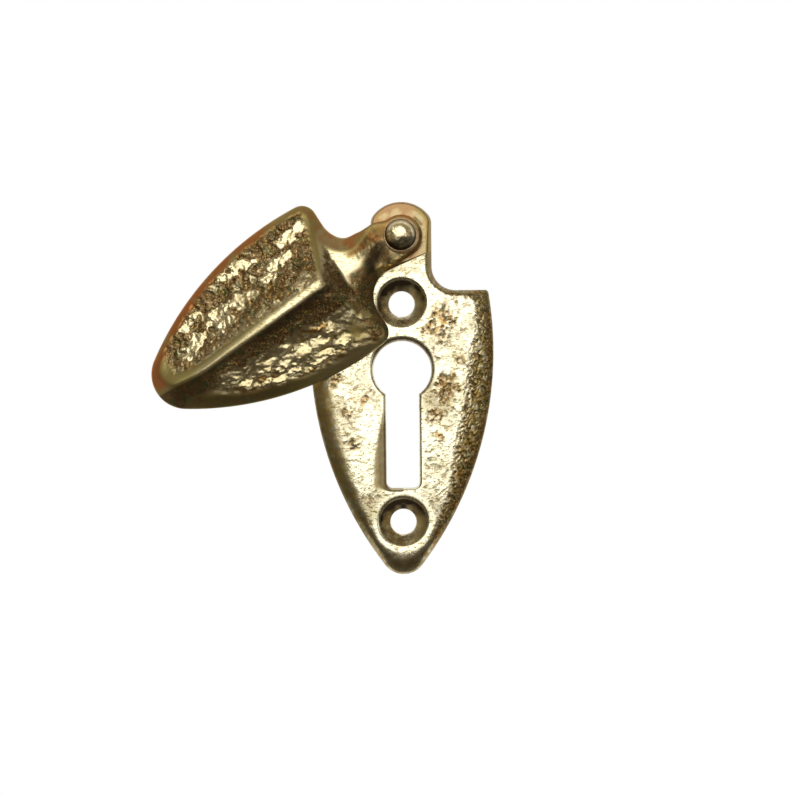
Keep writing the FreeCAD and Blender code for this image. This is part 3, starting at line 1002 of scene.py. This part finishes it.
def rivet_wear(points, depths):
    """The head as it is: a bumpy dome a little off centre, with one flat from a blow, painted shade round
    its edge and over its lower half, and marks.
    """
    from_axis = np.hypot(points[:, 0], points[:, 1])
    in_dome = (depths > rivet_seat + rivet_head_edge - 0.025) & (from_axis < rivet_dome_radius + 0.1)
    points = points + in_dome[:, None] * np.array(rivet_dome_shift)
    across, down = points[:, 0], points[:, 1]
    on_dome = (depths > cover_back + eye_height + 0.5) * below(from_axis, 1.9, 2.15)
    depths = depths + rivet_bump_height * waves(points, 0.8, 51, 3) * on_dome
    blow = depths.max() - 0.27 + 0.07 * across + 0.17 * (down + 0.9)
    flattened = depths * (1 - on_dome) + soft_min(depths, blow, 0.08) * on_dome
    depths = np.where(on_dome > 0, flattened, depths)
    off_brim = below(from_axis, 2.2, 2.3)
    # Painted shade: the dome is darker round its edge and over its lower half
    lower = ramp(down + 0.3 * across + 0.3 * wave(points, 0.9, 52), 0.0, 1.0)
    marks = {mark: np.zeros(len(points)) for mark in mark_names}
    marks["hollow"] = ramp(from_axis, 1.5, 2.1) * off_brim
    marks["unpolished"] = 0.8 * lower * off_brim
    marks["warm"] = 0.5 * ramp(from_axis, 2.2, 2.3)
    return points, depths, marks


def turned_piece(name, profile, count, wear):
    """A profile turned about the pivot: (radius cos t, radius sin t) in the plan, at the profile's
    depth.
    """
    angle = np.linspace(0, 2 * math.pi, count, endpoint=False)
    middle = profile[1:-1]
    across = np.outer(middle[:, 0], np.cos(angle))
    down = np.outer(middle[:, 0], np.sin(angle))
    depth = np.repeat(middle[:, 1:2], count, axis=1)
    ring_points = np.stack([across, down], axis=2).reshape(-1, 2)
    points = np.concatenate([ring_points, [[0, 0], [0, 0]]])
    depths = np.concatenate([depth.ravel(), profile[[0, -1], 1]])
    rings = np.arange(len(middle) * count).reshape(len(middle), count)
    faces = [wall(rings[i], rings[i + 1]) for i in range(len(middle) - 1)]
    top, bottom = len(points) - 2, len(points) - 1
    first, last = rings[0], rings[-1]
    faces.append(np.stack([np.full(count, top), np.roll(first, -1), first], axis=1))
    faces.append(np.stack([np.full(count, bottom), last, np.roll(last, -1)], axis=1))
    points, depths, marks = wear(points, depths)
    return mesh_piece(name, placed(points, depths), np.concatenate(faces), marks)


rivet = turned_piece("brass_pivot_rivet", rivet_profile(), rivet_sides, rivet_wear)


# Finishes

polished_brass = (0.93, 0.87, 0.63)
antique_brass = (0.92, 0.79, 0.48)
plate_olive = (0.34, 0.28, 0.08)
cover_olive = (0.4, 0.33, 0.12)
plate_bronze = (0.42, 0.25, 0.07)
cover_bronze = (0.45, 0.26, 0.07)
# Colour of grime in hollows, also used for painted shade
dark_brass = (0.16, 0.09, 0.03)
mossy_brass = (0.1, 0.1, 0.035)
# Colour of the painted glints
painted_glint_gold = (0.62, 0.4, 0.13)
# Colour of painted black shade
painted_shade_black = (0.035, 0.023, 0.011)
# Warm copper, which on the cover's left edge stands for a painted reflection
copper_tone_and_reflection = (0.5, 0.2, 0.06)
filed_copper = (0.41, 0.25, 0.115)

# Extra roughness where the brass is dull, depth of the fine grain in metres, and the slant of fine specks
dull_roughness = 0.22
grain_depth = 3e-5
speck_angle = 38.0
noise_roughness = 0.55


def node(tree, kind, place, **settings):
    """A new shader node at a place on the node sheet, with its settings."""
    made = tree.nodes.new(kind)
    made.location = place
    for name, value in settings.items():
        setattr(made, name, value)
    return made


def fed(tree, sockets, values):
    """Each value goes to its socket: as a link where it is a socket itself, and else as a plain number."""
    for socket, value in zip(sockets, values):
        if isinstance(value, bpy.types.NodeSocket):
            tree.links.new(value, socket)
        else:
            socket.default_value = value


def mix_colours(tree, place, share, one, two):
    """A colour mix; each of share, one and two is a socket or a plain value."""
    made = node(tree, "ShaderNodeMix", place, data_type="RGBA")
    fed(tree, (made.inputs[0], made.inputs[6], made.inputs[7]), (share, one, two))
    return made.outputs[2]


def maths(tree, place, operation, one, two=0.0, three=0.0, clamp=False):
    """A sum on sockets or plain values."""
    made = node(tree, "ShaderNodeMath", place, operation=operation, use_clamp=clamp)
    fed(tree, made.inputs, (one, two, three))
    return made.outputs[0]


def noise(tree, place, coordinates, scale, detail):
    """Soft noise from 0 to 1; scale is in cells to the metre."""
    made = node(tree, "ShaderNodeTexNoise", place)
    tree.links.new(coordinates, made.inputs["Vector"])
    made.inputs["Scale"].default_value = scale
    made.inputs["Detail"].default_value = detail
    made.inputs["Roughness"].default_value = noise_roughness
    return made.outputs["Fac"]


def spread(tree, place, value, low, high, start=0.0, end=1.0):
    """The value stretched smoothly, so that low becomes start and high becomes end."""
    made = node(tree, "ShaderNodeMapRange", place, interpolation_type="SMOOTHSTEP")
    tree.links.new(value, made.inputs["Value"])
    for name, number in (("From Min", low), ("From Max", high), ("To Min", start), ("To Max", end)):
        made.inputs[name].default_value = number
    return made.outputs["Result"]


def spots(tree, level, coordinates, scale, detail, low, high, least=0.0):
    """Spots of noise, from least to 1; level is how high its two nodes stand on the node sheet."""
    value = noise(tree, (-700, level), coordinates, scale, detail)
    return spread(tree, (-500, level), value, low, high, least)


def new_sockets(group, way, kind, names):
    """Sockets of one kind on a node group; way is INPUT or OUTPUT."""
    for name in names:
        group.interface.new_socket(name=name, in_out=way, socket_type=kind)


def tarnish_group():
    """Colour of handled brass: bright metal, olive tarnish in patches, dark grime in hollows with painted
    shade, painted golden glints, near-black painted shade, and warm copper that is partly a painted
    reflection.
    """
    group = bpy.data.node_groups.new("brass_tarnish", "ShaderNodeTree")
    numbers = ("Hollow", "Tarnish", "Warm", "Amber", "Unpolished", "Rough")
    colours = ("Bright", "Olive", "Grime_and_shade", "Bronze", "Moss", "Glint_gold", "Black", "Copper")
    new_sockets(group, "INPUT", "NodeSocketVector", ["Coordinates"])
    new_sockets(group, "INPUT", "NodeSocketFloat", numbers)
    new_sockets(group, "INPUT", "NodeSocketColor", colours)
    new_sockets(group, "INPUT", "NodeSocketFloat", ["Patches"])
    new_sockets(group, "OUTPUT", "NodeSocketColor", ["Color"])
    new_sockets(group, "OUTPUT", "NodeSocketFloat", ["Dull", "Metal"])
    start = node(group, "NodeGroupInput", (-900, 0))
    end = node(group, "NodeGroupOutput", (900, 0))
    place = start.outputs["Coordinates"]
    slant = node(group, "ShaderNodeMapping", (-900, 300))
    slant.inputs["Rotation"].default_value = (0, math.radians(speck_angle), 0)
    slant.inputs["Scale"].default_value = (0.45, 1, 1)
    group.links.new(place, slant.inputs["Vector"])
    broad = spots(group, 300, place, 230, 5, 0.48, 0.68)
    fine = spots(group, 100, slant.outputs[0], 3600, 3, 0.54, 0.62)
    patchy = maths(group, (-300, 200), "MULTIPLY", broad, start.outputs["Patches"])
    specks = maths(group, (-300, 60), "MULTIPLY", fine, start.outputs["Patches"])
    specks = maths(group, (-200, 0), "MULTIPLY", specks, 1.6)
    dull = maths(group, (-100, 160), "ADD", patchy, specks, clamp=True)
    dull = maths(group, (0, 160), "MAXIMUM", dull, start.outputs["Tarnish"])
    colour = mix_colours(group, (100, 200), dull, start.outputs["Bright"], start.outputs["Olive"])
    stain = spots(group, 450, place, 1100, 4, 0.35, 0.6)
    stain = maths(group, (-300, 450), "MULTIPLY", stain, start.outputs["Amber"])
    colour = mix_colours(group, (200, 300), stain, colour, start.outputs["Bronze"])
    break_up = spots(group, -60, place, 1500, 3, 0.3, 0.6, 0.8)
    sunk = maths(group, (-300, -80), "MULTIPLY", start.outputs["Hollow"], break_up, clamp=True)
    # Painted glints: golden specks mixed into the dark grime where the surface is rough
    painted_glint = spots(group, -160, place, 4200, 2, 0.56, 0.62)
    painted_glint = maths(group, (-300, -160), "MULTIPLY", painted_glint, start.outputs["Rough"], clamp=True)
    mossy = spots(group, -360, place, 800, 2, 0.5, 0.62)
    low = mix_colours(group, (0, -200), mossy, start.outputs["Grime_and_shade"], start.outputs["Moss"])
    low = mix_colours(group, (100, 0), painted_glint, low, start.outputs["Glint_gold"])
    colour = mix_colours(group, (300, 160), sunk, colour, low)
    # Painted shade: near-black brass mixed in where the mark asks for it, and made duller
    black = start.outputs["Unpolished"]
    colour = mix_colours(group, (400, 160), black, colour, start.outputs["Black"])
    sunk = maths(group, (-100, -80), "MAXIMUM", sunk, black)
    warm_spots = spots(group, -250, place, 520, 4, 0.35, 0.62)
    warm_spots = maths(group, (-300, -260), "ADD", warm_spots, 0.35)
    warm = maths(group, (-100, -200), "MULTIPLY", start.outputs["Warm"], warm_spots, clamp=True)
    colour = mix_colours(group, (500, 120), warm, colour, start.outputs["Copper"])
    group.links.new(colour, end.inputs["Color"])
    group.links.new(maths(group, (700, 200), "MULTIPLY_ADD", sunk, -0.1, 1.0), end.inputs["Metal"])
    dull = maths(group, (500, -60), "MAXIMUM", dull, sunk)
    group.links.new(maths(group, (700, -60), "MAXIMUM", dull, warm), end.inputs["Dull"])
    return group


def grain_group():
    """Height of cast brass grain: broad ripples, and fine grit where it is rough."""
    group = bpy.data.node_groups.new("cast_grain", "ShaderNodeTree")
    new_sockets(group, "INPUT", "NodeSocketVector", ["Coordinates"])
    new_sockets(group, "INPUT", "NodeSocketFloat", ["Rough", "Ripple"])
    new_sockets(group, "OUTPUT", "NodeSocketFloat", ["Height"])
    start = node(group, "NodeGroupInput", (-900, 0))
    end = node(group, "NodeGroupOutput", (500, 0))
    place = start.outputs["Coordinates"]
    ripple = noise(group, (-600, 200), place, 900, 2)
    ripple = maths(group, (-300, 200), "MULTIPLY", ripple, start.outputs["Ripple"])
    grit = noise(group, (-600, 0), place, 3200, 3)
    grit = maths(group, (-300, 0), "MULTIPLY", grit, start.outputs["Rough"])
    height = maths(group, (-60, 100), "ADD", ripple, grit)
    group.links.new(height, end.inputs["Height"])
    return group


tarnish = tarnish_group()
grain = grain_group()


def brass(name, bright, olive, bronze, copper, patches, polish, ripple):
    """Cast brass with the surface's marks; polish is the roughness where it is bright."""
    material = bpy.data.materials.new(name)
    material.use_nodes = True
    tree = material.node_tree
    shader = tree.nodes["Principled BSDF"]
    place = node(tree, "ShaderNodeTexCoord", (-1100, 0)).outputs["Object"]
    finish = node(tree, "ShaderNodeGroup", (-600, 100), node_tree=tarnish)
    tree.links.new(place, finish.inputs["Coordinates"])
    marks = {}
    for row, mark in enumerate(mark_names):
        reader = node(tree, "ShaderNodeAttribute", (-1100, -220 - 180 * row), attribute_name=mark)
        marks[mark] = reader.outputs["Fac"]
        socket = "Tarnish" if mark == "olive" else mark.capitalize()
        tree.links.new(marks[mark], finish.inputs[socket])
    colours = {"Bright": bright, "Olive": olive, "Bronze": bronze, "Copper": copper}
    colours |= {"Grime_and_shade": dark_brass, "Moss": mossy_brass, "Glint_gold": painted_glint_gold, "Black": painted_shade_black}
    for socket, colour in colours.items():
        finish.inputs[socket].default_value = (*colour, 1)
    finish.inputs["Patches"].default_value = patches
    tree.links.new(finish.outputs["Color"], shader.inputs["Base Color"])
    tree.links.new(finish.outputs["Metal"], shader.inputs["Metallic"])
    dull = maths(tree, (-300, -100), "MULTIPLY", finish.outputs["Dull"], dull_roughness)
    tree.links.new(maths(tree, (-140, -100), "ADD", dull, polish, clamp=True), shader.inputs["Roughness"])
    surface = node(tree, "ShaderNodeGroup", (-600, -300), node_tree=grain)
    tree.links.new(place, surface.inputs["Coordinates"])
    tree.links.new(marks["rough"], surface.inputs["Rough"])
    surface.inputs["Ripple"].default_value = ripple
    bump = node(tree, "ShaderNodeBump", (-300, -300))
    bump.inputs["Strength"].default_value = 1.0
    bump.inputs["Distance"].default_value = grain_depth
    tree.links.new(surface.outputs["Height"], bump.inputs["Height"])
    tree.links.new(bump.outputs["Normal"], shader.inputs["Normal"])
    return material


plate_colours = (polished_brass, plate_olive, plate_bronze, filed_copper)
cover_colours = (antique_brass, cover_olive, cover_bronze, copper_tone_and_reflection)
plate_finish = brass("plate_brass", *plate_colours, patches=0.4, polish=0.2, ripple=0.5)
cover_finish = brass("cover_brass", *cover_colours, patches=0.45, polish=0.25, ripple=0.5)
rivet_finish = brass("rivet_brass", *cover_colours, patches=0.3, polish=0.27, ripple=0.6)
plate.data.materials.append(plate_finish)
cover.data.materials.append(cover_finish)
rivet.data.materials.append(rivet_finish)

for piece, solid, body, slot in (
    (plate, "back_plate", "plate", "plate_brass"),
    (cover, "swing_cover", "cover", "cover_brass"),
    (rivet, "pivot_rivet", "plate", "rivet_brass"),
):
    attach(piece, body)
    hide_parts(solid)


# Studio: a white wall behind, a soft box at the camera, and dim soft light all round

wall_reach = 0.6
wall_gap = 0.0004
paper_white = (0.8, 0.8, 0.8, 1)
room_below = (0.07, 0.058, 0.042, 1)
room_above = (0.26, 0.23, 0.18, 1)


def white_wall():
    """A white sheet just behind the plate, seen as white from the front and not at all from behind."""
    mesh = bpy.data.meshes.new("white_wall")
    corners = [(x * wall_reach, wall_gap, z * wall_reach) for x, z in ((-1, -1), (1, -1), (1, 1), (-1, 1))]
    mesh.from_pydata(corners, [], [(0, 1, 2, 3)])
    piece = bpy.data.objects.new("white_wall", mesh)
    bpy.context.scene.collection.objects.link(piece)
    material = bpy.data.materials.new("white_paper")
    material.use_nodes = True
    tree = material.node_tree
    tree.nodes.clear()
    end = node(tree, "ShaderNodeOutputMaterial", (600, 0))
    paper = node(tree, "ShaderNodeBsdfDiffuse", (-200, 0))
    paper.inputs["Color"].default_value = paper_white
    glow = node(tree, "ShaderNodeEmission", (-200, -150))
    rays = node(tree, "ShaderNodeLightPath", (-600, 200))
    seen = maths(tree, (-400, 200), "MAXIMUM", rays.outputs["Is Camera Ray"], rays.outputs["Is Glossy Ray"])
    seen = maths(tree, (-250, 200), "MAXIMUM", seen, rays.outputs["Is Transmission Ray"])
    front = node(tree, "ShaderNodeMixShader", (0, 0))
    tree.links.new(seen, front.inputs[0])
    tree.links.new(paper.outputs[0], front.inputs[1])
    tree.links.new(glow.outputs[0], front.inputs[2])
    clear = node(tree, "ShaderNodeBsdfTransparent", (0, -200))
    side = node(tree, "ShaderNodeNewGeometry", (0, 250))
    both = node(tree, "ShaderNodeMixShader", (300, 0))
    tree.links.new(side.outputs["Backfacing"], both.inputs[0])
    tree.links.new(front.outputs[0], both.inputs[1])
    tree.links.new(clear.outputs[0], both.inputs[2])
    tree.links.new(both.outputs[0], end.inputs[0])
    mesh.materials.append(material)


def soft_box(name, place, width, height, radiance):
    """A soft box aimed at the origin; its power is radiance times pi times its area."""
    lamp = bpy.data.lights.new(name, "AREA")
    lamp.shape = "RECTANGLE"
    lamp.size, lamp.size_y = width, height
    lamp.energy = radiance * math.pi * width * height
    piece = bpy.data.objects.new(name, lamp)
    piece.location = place
    piece.rotation_euler = (-Vector(place)).to_track_quat("-Z", "Y").to_euler()
    piece.visible_camera = False
    bpy.context.scene.collection.objects.link(piece)


white_wall()
soft_box("front_box", (-0.045, -0.33, 0.11), width=0.32, height=0.36, radiance=1.75)
soft_box("side_box", (0.193, -0.23, -0.015), width=0.14, height=0.13, radiance=0.8)
soft_box("back_box", (0.1, 0.4, 0.15), width=0.4, height=0.4, radiance=1.2)


def dim_room():
    """Soft light all round: the level rises from dark below to a warm grey above."""
    world = bpy.data.worlds.new("dim_room")
    world.use_nodes = True
    tree = world.node_tree
    way = node(tree, "ShaderNodeTexCoord", (-800, 0)).outputs["Generated"]
    parts = node(tree, "ShaderNodeSeparateXYZ", (-600, 0))
    tree.links.new(way, parts.inputs[0])
    rise = spread(tree, (-400, 0), parts.outputs["Z"], -0.7, 0.9)
    colour = mix_colours(tree, (-200, 0), rise, room_below, room_above)
    tree.links.new(colour, tree.nodes["Background"].inputs["Color"])
    bpy.context.scene.world = world


dim_room()


# Camera

image_width = 0.1136
camera_distance = 0.25
camera_place = (-0.0007, -camera_distance, 0.0022)
camera_roll = math.radians(0.5)
sensor_width = 36.0
camera = bpy.data.cameras.new("camera")
camera.sensor_width = sensor_width
camera.lens = sensor_width * camera_distance / image_width
camera.clip_start = 0.005
camera_piece = bpy.data.objects.new("camera", camera)
camera_piece.matrix_world = (
    Matrix.Translation(camera_place)
    @ Matrix.Rotation(camera_roll, 4, "Y")
    @ Matrix.Rotation(math.radians(90), 4, "X")
)
bpy.context.scene.collection.objects.link(camera_piece)
bpy.context.scene.camera = camera_piece
bpy.context.scene.view_settings.view_transform = "Standard"
